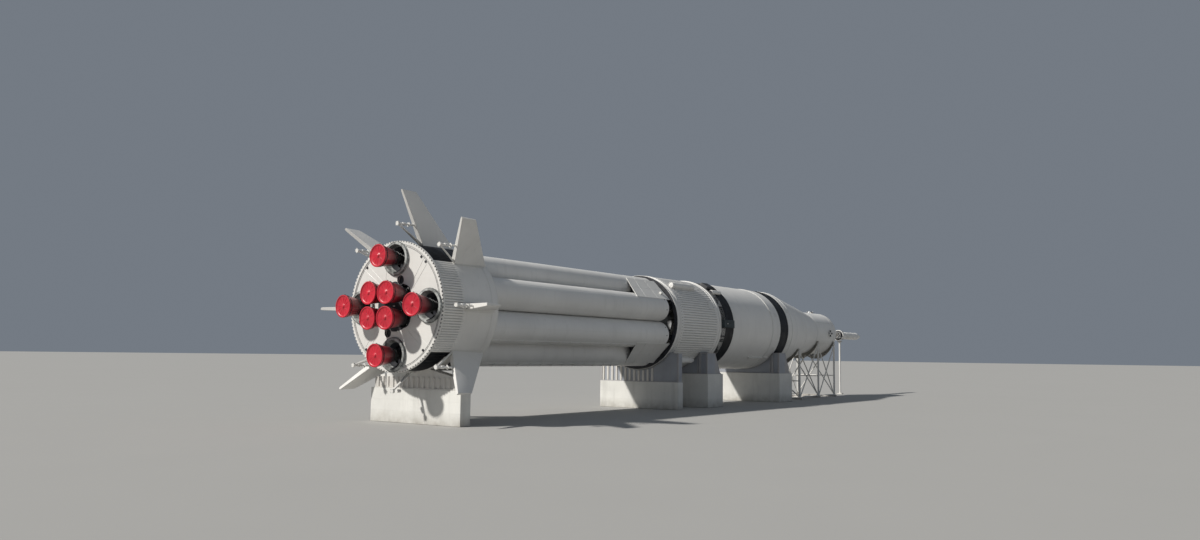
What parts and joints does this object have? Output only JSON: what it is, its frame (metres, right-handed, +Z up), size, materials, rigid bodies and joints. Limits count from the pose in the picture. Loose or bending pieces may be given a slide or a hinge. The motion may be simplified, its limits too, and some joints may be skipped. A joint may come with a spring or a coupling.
{
  "type": "half-scale model of a space rocket on cradles",
  "caption": "Launch rocket lying on its side on cradles and trestles, with clustered tanks, tail fins, a conical adapter and red-covered engines, the outer ones steered on gimbals.",
  "frame": {"origin": "middle of the bounding box's underside, on the ground", "axes": "+X along the rocket to the nose, +Y to the side away from the camera in the picture, +Z up"},
  "size_m": [34.1596, 6.08, 6.04],
  "materials": {
    "white_paint": "satin",
    "black_paint": "satin",
    "red_cover": "satin",
    "bare_steel": "dull",
    "white_concrete": "matt paint",
    "white_steel": "satin"
  },
  "bodies": {
    "vehicle": {"heat_shield": "white_paint", "tail_shroud": "white_paint", "fin_near": "white_paint", "fin_upper_near": "white_paint", "fin_top": "white_paint", "fin_upper_far": "white_paint", "fin_far": "white_paint", "fin_lower_far": "white_paint", "fin_lower_near": "white_paint", "bracket_bottom": "white_paint", "tank_outer_1": "white_paint", "tank_outer_2": "white_paint", "tank_outer_3": "white_paint", "tank_outer_4": "white_paint", "tank_outer_5": "white_paint", "tank_outer_6": "white_paint", "tank_outer_7": "white_paint", "tank_outer_8": "white_paint", "tank_centre": "white_paint", "spider_beam": "white_paint", "tank_panel_upper_near": "white_paint", "tank_panel_upper_far": "white_paint", "tank_panel_lower_far": "white_paint", "tank_panel_lower_near": "white_paint", "interstage": "white_paint", "aft_skirt": "white_paint", "upper_tank": "white_paint", "forward_skirt": "white_paint", "instrument_ring": "white_paint", "adapter_cone": "white_paint", "service_module": "white_paint", "crew_module": "white_paint", "escape_tower": "white_paint", "escape_motor": "white_paint", "shroud_panel_top": "black_paint", "shroud_panel_bottom": "black_paint", "aft_band": "black_paint", "forward_band": "black_paint", "inner_engine_upper_near": "red_cover", "inner_engine_upper_far": "red_cover", "inner_engine_lower_far": "red_cover", "inner_engine_lower_near": "red_cover", "thrust_frame": "bare_steel", "upper_engine": "bare_steel", "cradle_tail": "white_concrete", "cradle_middle": "white_concrete", "cradle_interstage": "white_concrete", "cradle_forward": "white_concrete", "forward_trestle": "white_steel", "nose_post": "white_steel"},
    "gimbal_near": {"gimbal_block_near": "bare_steel"},
    "engine_near": {"engine_near": "red_cover"},
    "gimbal_top": {"gimbal_block_top": "bare_steel"},
    "engine_top": {"engine_top": "red_cover"},
    "gimbal_far": {"gimbal_block_far": "bare_steel"},
    "engine_far": {"engine_far": "red_cover"},
    "gimbal_bottom": {"gimbal_block_bottom": "bare_steel"},
    "engine_bottom": {"engine_bottom": "red_cover"}
  },
  "joints": [
    {"name": "near_engine_pitch", "type": "hinge", "parent": "vehicle", "child": "gimbal_near", "pos_m": [-15.80025, -1.205, 3], "axis": [0, 1, 0], "range_deg": [-8, 8]},
    {"name": "near_engine_yaw", "type": "hinge", "parent": "gimbal_near", "child": "engine_near", "pos_m": [-15.80025, -1.205, 3], "axis": [0, 0, 1], "range_deg": [-8, 8]},
    {"name": "top_engine_pitch", "type": "hinge", "parent": "vehicle", "child": "gimbal_top", "pos_m": [-15.80025, 0, 4.205], "axis": [0, 1, 0], "range_deg": [-8, 8]},
    {"name": "top_engine_yaw", "type": "hinge", "parent": "gimbal_top", "child": "engine_top", "pos_m": [-15.80025, 0, 4.205], "axis": [0, 0, 1], "range_deg": [-8, 8]},
    {"name": "far_engine_pitch", "type": "hinge", "parent": "vehicle", "child": "gimbal_far", "pos_m": [-15.80025, 1.205, 3], "axis": [0, 1, 0], "range_deg": [-8, 8]},
    {"name": "far_engine_yaw", "type": "hinge", "parent": "gimbal_far", "child": "engine_far", "pos_m": [-15.80025, 1.205, 3], "axis": [0, 0, 1], "range_deg": [-8, 8]},
    {"name": "bottom_engine_pitch", "type": "hinge", "parent": "vehicle", "child": "gimbal_bottom", "pos_m": [-15.80025, 0, 1.795], "axis": [0, 1, 0], "range_deg": [-8, 8]},
    {"name": "bottom_engine_yaw", "type": "hinge", "parent": "gimbal_bottom", "child": "engine_bottom", "pos_m": [-15.80025, 0, 1.795], "axis": [0, 0, 1], "range_deg": [-8, 8]}
  ]
}
